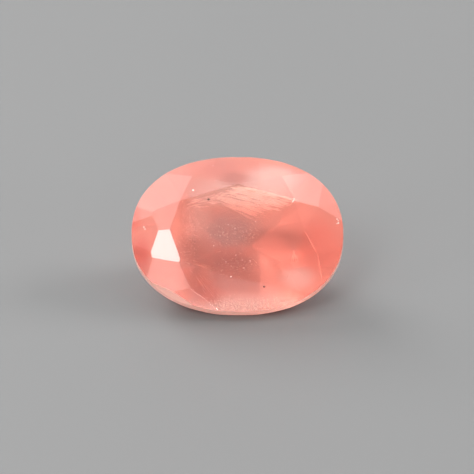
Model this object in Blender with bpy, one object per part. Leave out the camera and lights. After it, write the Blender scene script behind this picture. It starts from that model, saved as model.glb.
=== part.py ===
"""Oval brilliant-cut gem of rhodochrosite, one solid, lying on a facet of its pavilion.

The stone is made as a cutter makes it: an oval blank is ground with flats. The stone's own
frame has the table facing +Z, the long axis along X and the top edge of the girdle at Z = 0.
At the end the stone is tipped forwards onto the front main of its pavilion.
"""

import math
from collections import namedtuple

import bmesh
import bpy
from mathutils import Matrix, Vector

MM = 0.001

# The blank: an oval with full shoulders, ground a little flat at the front left.
LENGTH = 8.0 * MM
WIDTH = 6.1 * MM
OUTLINE_POWER = 2.24
OUTLINE_SIDES = 120
FLAT_DIRECTION = 225.0
FLAT_SPREAD = 25.0
FLAT_DEPTH = 0.018

# Heights along the stone's axis.
CROWN_HEIGHT = 0.52 * MM
GIRDLE_THICKNESS = 0.46 * MM
PAVILION_SLOPE = 42.0
PAVILION_DEPTH = WIDTH / 2 * math.tan(math.radians(PAVILION_SLOPE))

# Closest that two cut points may lie before they count as one.
CUT_TOLERANCE = 1e-8

# The crown has eight sectors, anticlockwise from the right-hand end. A main facet belongs to
# each corner of the table and a star facet to each side of it, so each star's outer tip is the
# meeting point of two mains.
#   corner: the table's corner
#   heel: how far outside that corner the main's plane would reach the table's level
#   tip: the outer tip of the star that follows this main
#   blunt: how far that tip is ground back by the facets below it
#   foot: where the main starts and ends along the girdle, in degrees round the outline
#   ridge: where the edge between the next two girdle facets ends, in the same degrees
Sector = namedtuple("Sector", "corner heel tip blunt foot ridge")

CROWN = (
    Sector((2.53, 0.0), 0.0, (3.05, 0.98), 0.0, (-6, 8), 21),
    Sector((2.18, 1.15), 0.0, (1.68, 2.19), 0.0, (38, 50), 66),
    Sector((0.0, 1.84), 0.0, (-1.72, 2.18), 0.0, (82, 98), 116),
    Sector((-2.17, 1.17), 0.0, (-3.26, 0.80), 0.04, (131, 152), 162),
    Sector((-2.55, 0.03), 0.20, (-3.34, -0.97), 0.06, (173, 186), 199),
    Sector((-2.15, -1.15), 0.06, (-1.77, -2.22), 0.0, (212, 229), 246),
    Sector((-0.22, -1.85), 0.0, (1.75, -2.20), 0.0, (262, 278), 295),
    Sector((2.14, -1.14), 0.0, (2.98, -0.83), 0.0, (312, 324), 339),
)

# The mains at the ends and sides are set by where they meet the girdle's top edge, as a
# distance from the stone's axis. The four between them follow from the tips.
END_REACH = 3.97 * MM
SIDE_REACH = 3.03 * MM

# A flat by itself: degrees from +X towards +Y, degrees from the girdle's plane, and the
# distance from the axis at which it meets the girdle's edge.
Flat = namedtuple("Flat", "azimuth slope reach")

# At the front left the girdle leans inwards.
GIRDLE_LEAN = Flat(241.0, 65.0, 3.26 * MM)

# One quarter of the pavilion, repeated in the others. The mains at the front and back are
# narrow strips between long girdle facets, and those at the ends meet in a short keel.
PAVILION_QUARTER = (
    Flat(0.0, 38.5, LENGTH / 2),
    Flat(15.0, 41.0, 3.955 * MM),
    Flat(33.0, 42.5, 3.81 * MM),
    Flat(50.0, 43.5, 3.60 * MM),
    Flat(64.0, 44.3, 3.375 * MM),
    Flat(77.0, 42.8, 3.155 * MM),
    Flat(90.0, PAVILION_SLOPE, WIDTH / 2),
)


def outline_point(degrees, level=0.0):
    """A point of the oval outline. The angle is the oval's own, not the direction."""
    angle = math.radians(degrees)
    across, along = math.cos(angle), math.sin(angle)
    x = LENGTH / 2 * math.copysign(abs(across) ** (2 / OUTLINE_POWER), across)
    y = WIDTH / 2 * math.copysign(abs(along) ** (2 / OUTLINE_POWER), along)
    off_flat = (math.degrees(math.atan2(y, x)) - FLAT_DIRECTION + 180) % 360 - 180
    size = 1 - FLAT_DEPTH * math.exp(-((off_flat / FLAT_SPREAD) ** 2))
    return Vector((size * x, size * y, level))


def oval_blank():
    """The uncut stone: an oval prism from below the culet to the table."""
    stone = bmesh.new()
    bottom = -GIRDLE_THICKNESS - 1.2 * PAVILION_DEPTH
    turns = [360 * side / OUTLINE_SIDES for side in range(OUTLINE_SIDES)]
    corners = [stone.verts.new(outline_point(turn, bottom)) for turn in turns]
    base = stone.faces.new(corners)
    raised = bmesh.ops.extrude_face_region(stone, geom=[base])["geom"]
    top = [item for item in raised if isinstance(item, bmesh.types.BMVert)]
    bmesh.ops.translate(stone, verts=top, vec=(0, 0, CROWN_HEIGHT - bottom))
    bmesh.ops.recalc_face_normals(stone, faces=stone.faces)
    return stone


def grind(stone, point, normal):
    """Grinds away all that lies outside a plane and closes the cut with one flat."""
    cut = bmesh.ops.bisect_plane(
        stone,
        geom=[*stone.verts, *stone.edges, *stone.faces],
        dist=CUT_TOLERANCE,
        plane_co=point,
        plane_no=normal,
        clear_outer=True,
    )
    rim = [item for item in cut["geom_cut"] if isinstance(item, bmesh.types.BMEdge)]
    if rim:
        bmesh.ops.edgeloop_fill(stone, edges=rim)


def upward_normal(first, second, third):
    """The normal of the plane through three points, on its upper side."""
    normal = (second - first).cross(third - first).normalized()
    return normal if normal.z > 0 else -normal


def at_table(corner, beyond=0.0):
    """A point at the table's level, a distance outside one of its corners."""
    flat = Vector((*corner, 0)) * MM
    return flat + flat.normalized() * beyond * MM + Vector((0, 0, CROWN_HEIGHT))


def end_and_side_mains():
    """(a point, the normal) of each main at an end or a side, by sector."""
    mains = {}
    for index in range(0, len(CROWN), 2):
        direction = Matrix.Rotation(index * math.pi / 4, 3, "Z") @ Vector((1, 0, 0))
        foot = direction * (SIDE_REACH if index % 4 else END_REACH)
        heel = at_table(CROWN[index].corner, CROWN[index].heel)
        sideways = direction.cross(Vector((0, 0, 1)))
        mains[index] = (foot, upward_normal(foot, heel, heel + sideways))
    return mains


def star_tips(mains):
    """The outer tip of each star, on the end or side main beside it."""
    tips = []
    for index, sector in enumerate(CROWN):
        point, normal = mains[index if index % 2 == 0 else (index + 1) % len(CROWN)]
        flat = Vector((*sector.tip, 0)) * MM
        tips.append(flat + Vector((0, 0, normal.dot(point - flat) / normal.z)))
    return tips


def girdle_point(degrees, main):
    """Where a main meets the girdle's side, at an angle round the outline."""
    point, normal = main
    foot = outline_point(degrees)
    return foot + Vector((0, 0, normal.dot(point - foot) / normal.z))


def grind_flat(stone, flat, side):
    """Grinds a flat by itself, at the girdle's top edge (side 1) or its lower edge (side -1)."""
    outwards = Matrix.Rotation(math.radians(flat.azimuth), 3, "Z") @ Vector((1, 0, 0))
    slope = math.radians(flat.slope)
    level = 0.0 if side > 0 else -GIRDLE_THICKNESS
    normal = outwards * math.sin(slope) + Vector((0, 0, side * math.cos(slope)))
    grind(stone, outwards * flat.reach + Vector((0, 0, level)), normal)


def grind_crown(stone):
    """The girdle's leaning side, then mains, girdle facets and stars."""
    grind_flat(stone, GIRDLE_LEAN, 1)
    mains = end_and_side_mains()
    tips = star_tips(mains)
    for index, sector in enumerate(CROWN):
        if index % 2:
            heel = at_table(sector.corner, sector.heel)
            mains[index] = (heel, upward_normal(heel, tips[index - 1], tips[index]))
        grind(stone, *mains[index])
    for index, sector in enumerate(CROWN):
        following = (index + 1) % len(CROWN)
        after = CROWN[following]
        inwards = -Vector((*sector.tip, 0)).normalized()
        tip = tips[index] + inwards * sector.blunt * MM
        ridge = outline_point(sector.ridge)
        feet = (
            girdle_point(sector.foot[1], mains[index]),
            girdle_point(after.foot[0], mains[following]),
        )
        for foot in feet:
            grind(stone, tip, upward_normal(tip, ridge, foot))
        here, there = at_table(sector.corner), at_table(after.corner)
        grind(stone, here, upward_normal(here, there, tips[index]))


def grind_pavilion(stone):
    """The flats of one quarter in all four, those on an axis only once."""
    placed = set()
    for azimuth, slope, reach in PAVILION_QUARTER:
        for turned in (azimuth, 180 - azimuth, 180 + azimuth, -azimuth):
            flat = Flat(turned % 360, slope, reach)
            if flat not in placed:
                placed.add(flat)
                grind_flat(stone, flat, -1)


def cut_stone():
    """The finished stone in its own frame, as a bmesh."""
    stone = oval_blank()
    grind_pavilion(stone)
    grind_crown(stone)
    bmesh.ops.recalc_face_normals(stone, faces=stone.faces)
    return stone


def lay_down(stone):
    """Tips the stone forwards onto its front pavilion main, its box's bottom centre at 0."""
    tip = Matrix.Rotation(math.radians(PAVILION_SLOPE), 3, "X")
    bmesh.ops.rotate(stone, cent=(0, 0, 0), matrix=tip, verts=stone.verts)
    xs, ys, zs = zip(*(vert.co for vert in stone.verts))
    middle = Vector(((min(xs) + max(xs)) / 2, (min(ys) + max(ys)) / 2, min(zs)))
    bmesh.ops.translate(stone, vec=-middle, verts=stone.verts)


def gem_material():
    """Translucent coral pink with a glassy polish."""
    material = bpy.data.materials.new("rhodochrosite")
    material.use_nodes = True
    shader = material.node_tree.nodes["Principled BSDF"]
    shader.inputs["Base Color"].default_value = (0.93, 0.27, 0.19, 1)
    shader.inputs["Roughness"].default_value = 0.06
    shader.inputs["Metallic"].default_value = 0.0
    shader.inputs["IOR"].default_value = 1.7
    shader.inputs["Transmission Weight"].default_value = 0.6
    return material


def make_gem():
    """The gem as one object."""
    stone = cut_stone()
    lay_down(stone)
    mesh = bpy.data.meshes.new("gemstone")
    stone.to_mesh(mesh)
    stone.free()
    mesh.materials.append(gem_material())
    gem = bpy.data.objects.new("gemstone", mesh)
    bpy.context.scene.collection.objects.link(gem)
    return gem


def main():
    for old in list(bpy.data.objects):
        bpy.data.objects.remove(old)
    make_gem()


main()
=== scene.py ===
"""Studio scene: an oval brilliant-cut rhodochrosite, milky and see-through, with silk inside.

Lengths are in metres, through MM. Places on the stone are given by the photograph's pixels.
"""

import math
import random
from collections import namedtuple

import bmesh
import bpy
from mathutils import Euler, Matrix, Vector
from mathutils.bvhtree import BVHTree


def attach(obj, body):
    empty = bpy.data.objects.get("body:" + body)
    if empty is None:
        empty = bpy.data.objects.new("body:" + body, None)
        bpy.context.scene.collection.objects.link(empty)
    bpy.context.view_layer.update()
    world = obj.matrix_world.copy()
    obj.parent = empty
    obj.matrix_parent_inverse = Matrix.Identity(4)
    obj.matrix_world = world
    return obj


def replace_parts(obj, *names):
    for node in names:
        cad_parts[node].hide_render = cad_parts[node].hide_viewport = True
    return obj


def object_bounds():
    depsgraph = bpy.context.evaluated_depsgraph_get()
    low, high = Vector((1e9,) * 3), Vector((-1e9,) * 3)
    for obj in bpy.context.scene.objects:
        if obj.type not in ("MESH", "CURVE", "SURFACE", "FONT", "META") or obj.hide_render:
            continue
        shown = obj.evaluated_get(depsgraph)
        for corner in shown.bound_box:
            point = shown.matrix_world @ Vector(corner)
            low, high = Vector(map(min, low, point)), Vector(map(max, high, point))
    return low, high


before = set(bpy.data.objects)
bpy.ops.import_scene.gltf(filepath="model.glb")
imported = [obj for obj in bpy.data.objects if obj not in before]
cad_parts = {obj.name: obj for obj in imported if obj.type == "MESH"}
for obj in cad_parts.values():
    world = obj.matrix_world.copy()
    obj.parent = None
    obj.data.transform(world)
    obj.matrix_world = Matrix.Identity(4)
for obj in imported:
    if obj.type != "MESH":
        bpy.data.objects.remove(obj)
CAD_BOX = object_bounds()

MM = 0.001

# The photograph's view, in pixels of its 474 x 474 frame. The sensor's width is in mm.
FRAME_SIDE = 474
PIXELS_PER_MM = 26.45
BOX_CENTRE_PIXEL = (237.45, 235.97)
CAMERA_ELEVATION = 31.5
CAMERA_DISTANCE = 250 * MM
SENSOR = 36.0

# The stone's shape. Its edges are rubbed off by a hair. A face is part of the girdle if it leans
# less than the girdle's angle from upright, as seen with the table level.
WELD_GAP = 0.001 * MM
FACET_SPREAD = math.radians(0.2)
EDGE_WIDTH = 0.012 * MM
SHARP_ANGLE = math.radians(5)
GIRDLE_ANGLE = math.radians(27)

# The stone's material: a hazy see-through body under a sharp polish. The girdle is ground and
# has no polish. Light takes on the depth colour on its way through the body.
IOR = 1.7
CLEAR_SHARE = 0.72
POLISH_IOR = 1.5
POLISH_ROUGHNESS = 0.02
INNER_GLOSS = 0.1
INNER_HAZE = 0.25
GROUND_ROUGHNESS = 0.7
BODY_COLOUR = (1.0, 0.34, 0.25, 1)
MILKY_COLOUR = (1.0, 0.40, 0.31, 1)
MILKY_SCALE = 700.0
MILKY_DETAIL = 3.0
GIRDLE_COLOUR = (1.0, 0.82, 0.72, 1)
DEPTH_COLOUR = (0.99, 0.45, 0.38, 1)
DEPTH_DENSITY = 100.0

# Zones: soft balls of another body colour, by the pixel of their middle. A later zone
# lies over an earlier one. Pale balls paint light and dark balls paint shade into the body;
# each line says what it paints.
#   radii: in mm along X, Y and Z
#   share: how far the body goes to the zone's colour at its middle
Zone = namedtuple("Zone", "pixel radii colour share")

PAINTED_LIGHT_SHADE_AND_TINT_ZONES = (
    # painted light over the veil, with the veil's own milky paleness
    Zone((250, 190), (2.3, 0.8, 0.8), (1.0, 0.60, 0.50, 1), 0.9),
    # painted light on the right part of the facet at the top
    Zone((276, 176), (1.4, 0.6, 0.6), (1.0, 0.70, 0.61, 1), 0.9),
    # painted shade: the dark spot on the facet at the top, broad and then its core
    Zone((220, 168), (0.8, 0.5, 0.5), (0.90, 0.32, 0.25, 1), 0.9),
    Zone((234, 178), (0.7, 0.4, 0.4), (0.66, 0.23, 0.18, 1), 0.9),
    # painted shade: the darker, greyer middle, down to its lower edge
    Zone((226, 231), (1.5, 0.95, 0.95), (0.60, 0.33, 0.29, 1), 0.9),
    Zone((228, 264), (1.3, 0.8, 0.8), (0.42, 0.18, 0.15, 1), 0.9),
    Zone((232, 282), (1.8, 0.62, 0.62), (0.60, 0.24, 0.19, 1), 0.95),
    # painted light at the left of the table and at the veil's left end
    Zone((198, 218), (0.6, 1.2, 1.2), (1.0, 0.48, 0.39, 1), 0.8),
    Zone((212, 197), (0.9, 0.4, 0.4), (1.0, 0.52, 0.43, 1), 0.9),
    # painted shade at the lower left
    Zone((195, 277), (0.8, 0.7, 0.7), (0.64, 0.19, 0.13, 1), 0.9),
    # a deeper, darker red along the left rim
    Zone((140, 256), (0.5, 0.9, 0.9), (0.78, 0.17, 0.13, 1), 0.9),
    Zone((135, 218), (0.25, 0.8, 0.8), (0.98, 0.24, 0.17, 1), 0.9),
    # a deeper red on the right side
    Zone((318, 246), (1.3, 1.2, 1.2), (1.0, 0.27, 0.20, 1), 0.9),
    # painted light: the pale patch at the lower right
    Zone((298, 278), (0.8, 0.5, 0.5), (1.0, 0.60, 0.51, 1), 0.95),
    # painted light: the pale crescent at the bottom
    Zone((248, 308), (2.8, 0.6, 0.6), (1.0, 0.60, 0.50, 1), 0.95),
    # painted shade left of the middle, in the arc at the right and at the lower left
    Zone((192, 252), (0.75, 0.80, 0.80), (0.50, 0.21, 0.17, 1), 0.75),
    Zone((278, 241), (1.5, 0.60, 0.60), (0.46, 0.17, 0.13, 1), 0.8),
    Zone((206, 294), (0.75, 0.55, 0.55), (0.56, 0.12, 0.08, 1), 0.8),
)
# Where a zone starts to fade and where it ends, as shares of its radii.
ZONE_FADE = (0.3, 1.2)

# Silk: needles between two guide lines, each from a first to a second pixel.
#   peak: where between the guides the needles are densest, 0 at the upper and 1 at the lower
#   count: how many needles
#   reach: the share of the guide that one needle covers, least and most
#   width: a needle's width in mm
#   depth: how far below the surface, in mm, least and most
Silk = namedtuple("Silk", "upper lower peak count reach width depth")

SILK = (
    # the veil at the top and its lower fringe
    Silk(
        ((234, 183.3), (303, 200.5)), ((212, 193), (278, 213)),
        peak=0.0, count=230, reach=(0.12, 0.40), width=0.019, depth=(0.02, 0.06),
    ),
    Silk(
        ((213, 193), (276, 209)), ((206, 201), (268, 222)),
        peak=0.1, count=90, reach=(0.15, 0.50), width=0.014, depth=(0.02, 0.06),
    ),
    Silk(
        ((214, 198), (272, 214)), ((220, 204), (256, 222)),
        peak=0.5, count=20, reach=(0.30, 0.70), width=0.013, depth=(0.03, 0.10),
    ),
    Silk(
        ((230, 207), (255, 221)), ((231, 208), (255, 222)),
        peak=0.5, count=2, reach=(0.70, 0.95), width=0.016, depth=(0.03, 0.05),
    ),
    # hairs at the lower left and the left
    Silk(
        ((190, 259), (221, 268)), ((192, 265), (217, 273)),
        peak=0.6, count=16, reach=(0.20, 0.60), width=0.012, depth=(0.03, 0.15),
    ),
    Silk(
        ((188, 269), (206, 300)), ((200, 268), (226, 296)),
        peak=0.3, count=11, reach=(0.20, 0.60), width=0.010, depth=(0.03, 0.15),
    ),
    Silk(
        ((184, 206), (186, 258)), ((200, 204), (200, 250)),
        peak=0.3, count=9, reach=(0.15, 0.50), width=0.007, depth=(0.05, 0.30),
    ),
    # the bright line and the small triangle at the right
    Silk(
        ((304, 230), (316.5, 253)), ((305, 230), (317.5, 253)),
        peak=0.5, count=2, reach=(0.94, 0.98), width=0.034, depth=(0.03, 0.04),
    ),
    Silk(
        ((316.5, 253), (321.5, 280)), ((317.5, 253), (322.5, 280)),
        peak=0.5, count=2, reach=(0.94, 0.98), width=0.034, depth=(0.03, 0.04),
    ),
    Silk(
        ((293.4, 250), (288.6, 264)), ((293.8, 250), (300, 262)),
        peak=0.5, count=14, reach=(0.80, 0.98), width=0.024, depth=(0.03, 0.06),
    ),
    # flakes in the middle
    Silk(
        ((204, 224), (262, 224)), ((210, 244), (258, 244)),
        peak=0.5, count=40, reach=(0.015, 0.03), width=0.030, depth=(0.03, 0.15),
    ),
    Silk(
        ((214, 253), (258, 253)), ((220, 275), (256, 275)),
        peak=0.5, count=44, reach=(0.02, 0.04), width=0.026, depth=(0.03, 0.15),
    ),
    # the veil's left end
    Silk(
        ((186, 199.5), (234, 189)), ((184, 214), (216, 206)),
        peak=0.2, count=75, reach=(0.10, 0.30), width=0.012, depth=(0.02, 0.05),
    ),
)
SILK_SEED = 4
SILK_WAVER = 0.07
SILK_WIDTH_SPREAD = (0.5, 1.2)
SILK_COLOUR = (1.0, 0.82, 0.76, 1)
SILK_ROUGHNESS = 0.30
SILK_METAL = 0.65
SILK_MOTTLE = 0.1

# Specks: pixel, width and depth in mm. They lie flat. Those at no depth are in the polish.
Speck = namedtuple("Speck", "pixel width depth")

PALE_SPECKS = (
    Speck((193.0, 190.3), 0.07, 0.0),
    Speck((213.0, 165.0), 0.06, 0.05),
    Speck((144.0, 227.0), 0.05, 0.0),
    Speck((145.0, 229.0), 0.04, 0.0),
    Speck((231.0, 276.7), 0.05, 0.0),
    Speck((206.0, 298.0), 0.05, 0.05),
    Speck((292.8, 201.6), 0.06, 0.0),
    Speck((293.5, 200.2), 0.06, 0.0),
    Speck((294.3, 198.8), 0.06, 0.0),
    Speck((337.0, 219.0), 0.05, 0.0),
    Speck((338.2, 220.6), 0.05, 0.0),
    Speck((338.4, 223.0), 0.06, 0.0),
    Speck((337.0, 223.4), 0.04, 0.0),
    Speck((228.3, 224.7), 0.030, 0.0),
    Speck((235.0, 228.3), 0.030, 0.0),
    Speck((220.0, 235.5), 0.026, 0.0),
    Speck((213.7, 245.8), 0.026, 0.0),
    Speck((255.8, 221.7), 0.028, 0.0),
    Speck((242.0, 260.0), 0.026, 0.0),
    Speck((250.0, 261.0), 0.028, 0.0),
    Speck((226.0, 262.0), 0.024, 0.0),
    Speck((236.0, 255.0), 0.026, 0.0),
    Speck((244.0, 268.0), 0.028, 0.0),
    Speck((231.0, 266.0), 0.024, 0.0),
    Speck((222.0, 270.0), 0.026, 0.0),
)
DARK_SPECKS = (
    Speck((208.5, 199.5), 0.10, 0.0),
    Speck((264.0, 286.7), 0.09, 0.0),
)
SPECK_FLATNESS = 0.25
PALE_COLOUR = (1.0, 0.84, 0.77, 1)
DARK_COLOUR = (0.08, 0.03, 0.025, 1)
SPECK_ROUGHNESS = 0.4
SPECK_MOTTLE = 0.15

# Clouds of the finest grains, densest in the middle: the middle pixel, half the width and height
# in pixels, how many grains, and their depth in mm, least and most. The shadow is painted shade:
# a cloud of dark grains on the dark spot of the facet at the top.
Cloud = namedtuple("Cloud", "middle half count depth")

CLOUDS = (
    Cloud((232, 232), (34, 18), 300, (0.03, 0.20)),
    Cloud((238, 264), (28, 14), 400, (0.03, 0.20)),
    Cloud((266, 192), (40, 10), 500, (0.10, 0.30)),
    Cloud((190, 230), (10, 34), 900, (0.03, 0.30)),
    Cloud((246, 305), (72, 7), 2600, (0.03, 0.20)),
)
# painted shade: dark grains that darken the spot on the facet at the top
SHADOW = Cloud((235, 178), (11, 4), 80, (0.05, 0.25))
CLOUD_SEED = 5
CLOUD_SPREAD = 0.5
CLOUD_WIDTH = (0.010, 0.026)
GRAIN_UNEVENNESS = (0.7, 1.3)
MOTTLE_SCALE = 4000.0

# The floor and the room. The room is pale, and dim behind the camera: it goes from dim to bright
# between its edges, given by how far a direction points to the back, from -1 to 1.
FLOOR_COLOUR = (0.148, 0.149, 0.149, 1)
FLOOR_ROUGHNESS = 0.6
FLOOR_HALF = 0.8
FLOOR_GAP = 0.02 * MM
ROOM_DIM = 0.03
ROOM_BRIGHT = 1.04
ROOM_EDGES = (-0.30, -0.05)
ROOM_COLOUR = (1.0, 1.0, 1.0, 1)

# A lamp stands at an azimuth and an elevation in degrees: 0 is the right, 90 the back. It is a
# disc with a half angle in degrees, seen from the stone.
Lamp = namedtuple("Lamp", "name azimuth elevation spread radiance")

FLASH = Lamp("flash", 232, 48.4, 14, 7.9)
LAMPS = (
    FLASH,
    Lamp("ceiling", 90, 85, 16, 0.6),
    Lamp("high_left", 155, 61, 14, 1.5),
    Lamp("high_right", 17, 64, 10, 1.2),
    Lamp("high_front_left", 211, 62, 5, 1.1),
    Lamp("left", 180, 42, 12, 0.8),
    Lamp("back_left", 128, 30, 14, 13.0),
    Lamp("back_right", 15, 28, 12, 17.0),
    Lamp("low_back_left", 150, 8, 12, 5.5),
    Lamp("low_left", 210, 10, 11, 8.5),
    Lamp("low_right", 330, 10, 11, 8.0),
    Lamp("front_left", 236, 29, 8, 1.5),
    Lamp("front_gap", 287, 27, 6, 11.0),
    Lamp("low_front", 265, 5, 5, 32.0),
    Lamp("low_front_left", 235, 5, 5, 24.0),
)
LAMP_DISTANCE = 0.6
LAMP_AIM = Vector((0, 0, 2 * MM))
LIGHT_BOUNCES = 24


def link(obj):
    """Puts an object into the scene."""
    bpy.context.scene.collection.objects.link(obj)
    return obj


def node_material(name):
    """A new material, its node tree and its Principled shader."""
    material = bpy.data.materials.new(name)
    material.use_nodes = True
    tree = material.node_tree
    return material, tree, tree.nodes["Principled BSDF"]


def part_of_stone(mesh, name):
    """A mesh as a piece of the scene that goes with the stone."""
    piece = link(bpy.data.objects.new(name, mesh))
    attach(piece, "root")
    return piece


def stone_from_frame():
    """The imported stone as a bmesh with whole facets."""
    stone = bmesh.new()
    stone.from_mesh(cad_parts["gemstone"].data)
    bmesh.ops.remove_doubles(stone, verts=stone.verts, dist=WELD_GAP)
    bmesh.ops.dissolve_limit(
        stone, angle_limit=FACET_SPREAD, verts=stone.verts, edges=stone.edges
    )
    return stone


def mark_girdle(stone, axis):
    """Writes 1 on the faces of the girdle and 0 on the others."""
    layer = stone.faces.layers.float.new("girdle")
    for face in stone.faces:
        lean = abs(math.pi / 2 - face.normal.angle(axis))
        face[layer] = 1.0 if lean < GIRDLE_ANGLE else 0.0


def rub_edges(stone):
    """Takes a hair off every sharp edge."""
    sharp = [
        edge
        for edge in stone.edges
        if len(edge.link_faces) == 2 and edge.calc_face_angle() > SHARP_ANGLE
    ]
    bmesh.ops.bevel(
        stone,
        geom=sharp,
        offset=EDGE_WIDTH,
        offset_type="OFFSET",
        segments=1,
        profile=0.5,
        affect="EDGES",
        clamp_overlap=True,
    )


def mix_colour(tree, factor, first, second):
    """A colour mix node, driven by a factor socket. Each side is a colour or a socket."""
    mix = tree.nodes.new("ShaderNodeMix")
    mix.data_type = "RGBA"
    tree.links.new(factor, mix.inputs["Factor"])
    for socket, value in (("A", first), ("B", second)):
        target = next(i for i in mix.inputs if i.name == socket and i.type == "RGBA")
        if hasattr(value, "default_value"):
            tree.links.new(value, target)
        else:
            target.default_value = value
    return next(o for o in mix.outputs if o.type == "RGBA")


def map_range(tree, value, source, target, smooth=False):
    """A socket that goes over the target range as a value socket goes over the source range."""
    node = tree.nodes.new("ShaderNodeMapRange")
    if smooth:
        node.interpolation_type = "SMOOTHSTEP"
    tree.links.new(value, node.inputs["Value"])
    names = ("From Min", "From Max", "To Min", "To Max")
    for name, number in zip(names, (*source, *target)):
        node.inputs[name].default_value = number
    return node.outputs["Result"]


def vector_math(tree, operation, vector, constant=None):
    """A vector math node on a vector socket, with a constant as its second vector."""
    node = tree.nodes.new("ShaderNodeVectorMath")
    node.operation = operation
    tree.links.new(vector, node.inputs[0])
    if constant is not None:
        node.inputs[1].default_value = constant
    return node


def add_zone(tree, place, body, zone, view):
    """The body's colour with a soft ball of another colour in it. Pale balls paint light, dark
    balls paint shade, and deep red ones deepen the red.
    """
    centre = view.inside(zone.pixel, 0.0)
    radii = [radius * MM for radius in zone.radii]
    offset = vector_math(tree, "SUBTRACT", place, centre)
    scaled = vector_math(tree, "DIVIDE", offset.outputs["Vector"], radii)
    length = vector_math(tree, "LENGTH", scaled.outputs["Vector"])
    fade = map_range(tree, length.outputs["Value"], ZONE_FADE, (zone.share, 0.0), smooth=True)
    return mix_colour(tree, fade, body, zone.colour)


def gem_material(view):
    """Coral pink, milky and see-through under a sharp polish, with a ground girdle. Its zones
    paint light and shade into the body colour.
    """
    material, tree, shader = node_material("rhodochrosite")
    shader.inputs["IOR"].default_value = IOR
    shader.inputs["Transmission Weight"].default_value = CLEAR_SHARE
    shader.inputs["Coat Roughness"].default_value = POLISH_ROUGHNESS
    shader.inputs["Coat IOR"].default_value = POLISH_IOR
    shader.inputs["Specular IOR Level"].default_value = INNER_GLOSS

    place = tree.nodes.new("ShaderNodeTexCoord").outputs["Object"]
    milk = tree.nodes.new("ShaderNodeTexNoise")
    milk.inputs["Scale"].default_value = MILKY_SCALE
    milk.inputs["Detail"].default_value = MILKY_DETAIL
    tree.links.new(place, milk.inputs["Vector"])
    body = mix_colour(tree, milk.outputs["Fac"], BODY_COLOUR, MILKY_COLOUR)
    # the zones paint light and shade into the body colour, and deepen its red in places
    for zone in PAINTED_LIGHT_SHADE_AND_TINT_ZONES:
        body = add_zone(tree, place, body, zone, view)

    attribute = tree.nodes.new("ShaderNodeAttribute")
    attribute.attribute_name = "girdle"
    girdle = attribute.outputs["Fac"]
    colour = mix_colour(tree, girdle, body, GIRDLE_COLOUR)
    haze = map_range(tree, girdle, (0.0, 1.0), (INNER_HAZE, GROUND_ROUGHNESS))
    polish = map_range(tree, girdle, (0.0, 1.0), (1.0, 0.0))
    tree.links.new(colour, shader.inputs["Base Color"])
    tree.links.new(haze, shader.inputs["Roughness"])
    tree.links.new(polish, shader.inputs["Coat Weight"])

    absorb = tree.nodes.new("ShaderNodeVolumeAbsorption")
    absorb.inputs["Color"].default_value = DEPTH_COLOUR
    absorb.inputs["Density"].default_value = DEPTH_DENSITY
    tree.links.new(absorb.outputs["Volume"], tree.nodes["Material Output"].inputs["Volume"])
    return material


def make_gem(stone, view):
    """The stone in place of its plain solid: flat facets, and a girdle that is shaded round."""
    mesh = bpy.data.meshes.new("gem")
    stone.to_mesh(mesh)
    mesh.materials.append(gem_material(view))
    mesh.set_sharp_from_angle(angle=SHARP_ANGLE)
    ground = mesh.attributes["girdle"].data
    for face in mesh.polygons:
        face.use_smooth = ground[face.index].value > 0
    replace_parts(part_of_stone(mesh, "gem"), "gemstone")


def plain_material(name, colour, roughness, mottle, metal=0.0):
    """A dull mineral colour, darker by up to a share in a fine mottle."""
    material, tree, shader = node_material(name)
    shader.inputs["Roughness"].default_value = roughness
    shader.inputs["Metallic"].default_value = metal
    place = tree.nodes.new("ShaderNodeTexCoord")
    noise = tree.nodes.new("ShaderNodeTexNoise")
    noise.inputs["Scale"].default_value = MOTTLE_SCALE
    tree.links.new(place.outputs["Object"], noise.inputs["Vector"])
    darker = tuple(channel * (1 - mottle) for channel in colour[:3]) + (1,)
    mottled = mix_colour(tree, noise.outputs["Fac"], darker, colour)
    tree.links.new(mottled, shader.inputs["Base Color"])
    return material


def add_needle(bm, start, end, width, facing):
    """A closed splinter with three sides, pointed at both ends, its flat side facing out."""
    side = (end - start).cross(facing).normalized()
    middle = (start + end) / 2
    tips = [bm.verts.new(start), bm.verts.new(end)]
    corners = (side * width / 2, -side * width / 2, -facing * width / 2)
    ring = [bm.verts.new(middle + corner) for corner in corners]
    for step in range(3):
        a, b = ring[step], ring[(step + 1) % 3]
        bm.faces.new((tips[0], b, a))
        bm.faces.new((tips[1], a, b))


def add_grain(bm, centre, width, chance, normal=None):
    """A closed, uneven eight-sided grain: turned at random, or flat on a surface."""
    turn = Euler([chance.uniform(0, math.tau) for _ in range(3)])
    if normal is not None:
        turn = normal.to_track_quat("Z", "Y")
    axes = turn.to_matrix().col
    ends = {}
    for index in range(3):
        for sign in (1, -1):
            reach = width / 2 * chance.uniform(*GRAIN_UNEVENNESS)
            if normal is not None and index == 2:
                reach *= SPECK_FLATNESS
            ends[index, sign] = bm.verts.new(centre + axes[index] * sign * reach)
    for x in (1, -1):
        for y in (1, -1):
            for z in (1, -1):
                corners = [ends[0, x], ends[1, y], ends[2, z]]
                bm.faces.new(corners if x * y * z > 0 else corners[::-1])


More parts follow.
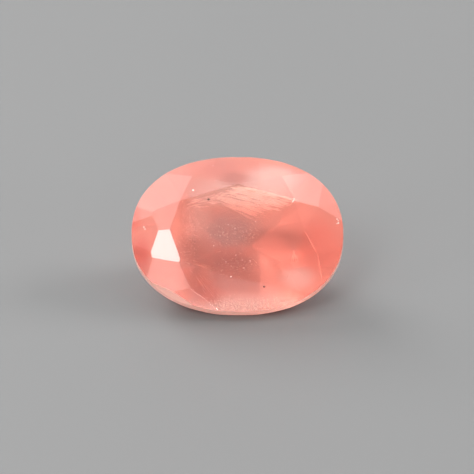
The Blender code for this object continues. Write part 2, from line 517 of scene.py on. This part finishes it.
class View:
    """Where the photograph's pixels lie on the stone, and how the flash reaches them."""

    def __init__(self, camera, stone):
        turn = camera.rotation_euler.to_matrix()
        self.origin = camera.location.copy()
        self.right = turn @ Vector((1, 0, 0))
        self.up = turn @ Vector((0, 1, 0))
        self.forward = turn @ Vector((0, 0, -1))
        self.flash = lamp_direction(FLASH)
        self.surfaces = BVHTree.FromBMesh(stone)

    def surface(self, pixel):
        """The point and the normal of the surface at a pixel, or None twice beside the stone."""
        off_right, off_up = off_centre(pixel)
        ray = self.forward * CAMERA_DISTANCE + self.right * off_right + self.up * off_up
        return self.surfaces.ray_cast(self.origin, ray.normalized())[:2]

    def inside(self, pixel, depth):
        """The point below the surface at a pixel, or None beside the stone."""
        point, normal = self.surface(pixel)
        return None if point is None else point - normal * depth

    def glint(self, normal):
        """The facing of a flake below the surface that mirrors the flash to the camera."""
        return (bend_in(-self.forward, normal) + bend_in(self.flash, normal)).normalized()


def off_centre(pixel):
    """How far a pixel lies to the right of the frame's middle and above it."""
    off_right = (pixel[0] - FRAME_SIDE / 2) / PIXELS_PER_MM * MM
    off_up = (FRAME_SIDE / 2 - pixel[1]) / PIXELS_PER_MM * MM
    return off_right, off_up


def bend_in(outside, normal):
    """The direction inside the stone towards an outside direction, bent at the surface."""
    along = (outside - normal * outside.dot(normal)) / IOR
    return along + normal * math.sqrt(1 - along.length_squared)


def between(first, second, share):
    """The pixel that lies a share of the way from the first to the second."""
    return tuple(a + (b - a) * share for a, b in zip(first, second))


def make_silk(view):
    """Fans of fine needles just below the polish, lying so that they glint in the flash.

    A needle follows its guide in the view. Its farther end is dipped until the needle lies
    across the direction of the glint, and its flat side faces that way, but for a small waver.
    """
    chance = random.Random(SILK_SEED)
    bm = bmesh.new()
    for silk in SILK:
        for _ in range(silk.count):
            across = chance.triangular(0, 1, silk.peak)
            start = between(silk.upper[0], silk.lower[0], across)
            end = between(silk.upper[1], silk.lower[1], across)
            reach = chance.uniform(*silk.reach)
            first = chance.uniform(0, 1 - reach)
            depth = chance.uniform(*silk.depth) * MM
            points = [view.inside(between(start, end, first + s), depth) for s in (0, reach)]
            if None not in points:
                near, far = points
                glint = view.glint(view.surface(between(start, end, first + reach / 2))[1])
                climb = (far - near).dot(glint)
                near += glint * min(climb, 0)
                far -= glint * max(climb, 0)
                waver = Vector([chance.gauss(0, SILK_WAVER) for _ in range(3)])
                width = silk.width * chance.uniform(*SILK_WIDTH_SPREAD) * MM
                add_needle(bm, near, far, width, (glint + waver).normalized())
    bmesh.ops.recalc_face_normals(bm, faces=bm.faces)
    mesh = bpy.data.meshes.new("silk")
    bm.to_mesh(mesh)
    bm.free()
    mesh.materials.append(
        plain_material("silk", SILK_COLOUR, SILK_ROUGHNESS, SILK_MOTTLE, SILK_METAL)
    )
    part_of_stone(mesh, "silk")


def make_specks(view, name, specks, colour, clouds):
    """Single flat specks and clouds of the finest grains, in one colour and as one piece."""
    chance = random.Random(CLOUD_SEED)
    bm = bmesh.new()
    for speck in specks:
        point, normal = view.surface(speck.pixel)
        if point is not None:
            centre = point - normal * speck.depth * MM
            add_grain(bm, centre, speck.width * MM, chance, normal)
    for cloud in clouds:
        for _ in range(cloud.count):
            pixel = tuple(
                middle + chance.gauss(0, CLOUD_SPREAD) * half
                for middle, half in zip(cloud.middle, cloud.half)
            )
            centre = view.inside(pixel, chance.uniform(*cloud.depth) * MM)
            if centre is not None:
                add_grain(bm, centre, chance.uniform(*CLOUD_WIDTH) * MM, chance)
    mesh = bpy.data.meshes.new(name)
    bm.to_mesh(mesh)
    bm.free()
    mesh.materials.append(plain_material(name, colour, SPECK_ROUGHNESS, SPECK_MOTTLE))
    part_of_stone(mesh, name)


def add_floor():
    """A plain floor, a hair below the stone."""
    mesh = bpy.data.meshes.new("floor")
    corners = [(-1, -1), (1, -1), (1, 1), (-1, 1)]
    mesh.from_pydata(
        [(x * FLOOR_HALF, y * FLOOR_HALF, -FLOOR_GAP) for x, y in corners], [], [(0, 1, 2, 3)]
    )
    floor = link(bpy.data.objects.new("floor", mesh))
    material, _, shader = node_material("floor")
    shader.inputs["Base Color"].default_value = FLOOR_COLOUR
    shader.inputs["Roughness"].default_value = FLOOR_ROUGHNESS
    mesh.materials.append(material)


def aim(obj, target):
    """Turns a camera or a lamp towards a point."""
    obj.rotation_euler = (target - obj.location).to_track_quat("-Z", "Y").to_euler()


def lamp_direction(lamp):
    """The direction from the stone towards a lamp."""
    azimuth, elevation = math.radians(lamp.azimuth), math.radians(lamp.elevation)
    level = Vector((math.cos(azimuth), math.sin(azimuth), 0)) * math.cos(elevation)
    return level + Vector((0, 0, math.sin(elevation)))


def add_lamp(lamp):
    """A round softbox, given by its radiance."""
    width = 2 * LAMP_DISTANCE * math.tan(math.radians(lamp.spread))
    data = bpy.data.lights.new(lamp.name, "AREA")
    data.shape = "DISK"
    data.size = width
    data.energy = lamp.radiance * math.pi * math.pi * width**2 / 4
    light = link(bpy.data.objects.new(lamp.name, data))
    light.location = LAMP_AIM + lamp_direction(lamp) * LAMP_DISTANCE
    aim(light, LAMP_AIM)


def add_room():
    """Even light from above and behind, dimmer from the camera's side."""
    world = bpy.data.worlds.new("room")
    bpy.context.scene.world = world
    world.use_nodes = True
    tree = world.node_tree
    place = tree.nodes.new("ShaderNodeTexCoord")
    split = tree.nodes.new("ShaderNodeSeparateXYZ")
    tree.links.new(place.outputs["Generated"], split.inputs["Vector"])
    strength = map_range(
        tree, split.outputs["Y"], ROOM_EDGES, (ROOM_DIM, ROOM_BRIGHT), smooth=True
    )
    background = tree.nodes["Background"]
    background.inputs["Color"].default_value = ROOM_COLOUR
    tree.links.new(strength, background.inputs["Strength"])


def add_camera():
    """The photograph's camera: the middle of the CAD box lies at its pixel and scale."""
    low, high = (Vector(corner) for corner in CAD_BOX)
    elevation = math.radians(CAMERA_ELEVATION)
    backwards = Vector((0, -math.cos(elevation), math.sin(elevation)))
    upwards = Vector((0, math.sin(elevation), math.cos(elevation)))
    off_right, off_up = off_centre(BOX_CENTRE_PIXEL)
    target = (low + high) / 2 - Vector((1, 0, 0)) * off_right - upwards * off_up
    data = bpy.data.cameras.new("camera")
    data.sensor_width = SENSOR
    data.lens = SENSOR * CAMERA_DISTANCE / (FRAME_SIDE / PIXELS_PER_MM * MM)
    data.clip_start = 1 * MM
    camera = link(bpy.data.objects.new("camera", data))
    camera.location = target + backwards * CAMERA_DISTANCE
    aim(camera, target)
    bpy.context.scene.camera = camera
    return camera


def main():
    camera = add_camera()
    stone = stone_from_frame()
    table = max(stone.faces, key=lambda face: face.calc_area())
    view = View(camera, stone)
    mark_girdle(stone, table.normal.copy())
    rub_edges(stone)
    make_gem(stone, view)
    stone.free()
    make_silk(view)
    make_specks(view, "pale_specks", PALE_SPECKS, PALE_COLOUR, CLOUDS)
    # the dark specks, and the dark grains of the painted shade, as one piece
    make_specks(view, "dark_specks_and_painted_shade", DARK_SPECKS, DARK_COLOUR, (SHADOW,))
    add_floor()
    add_room()
    for lamp in LAMPS:
        add_lamp(lamp)
    scene = bpy.context.scene
    scene.view_settings.view_transform = "Standard"
    scene.cycles.max_bounces = LIGHT_BOUNCES
    scene.cycles.transmission_bounces = LIGHT_BOUNCES


main()
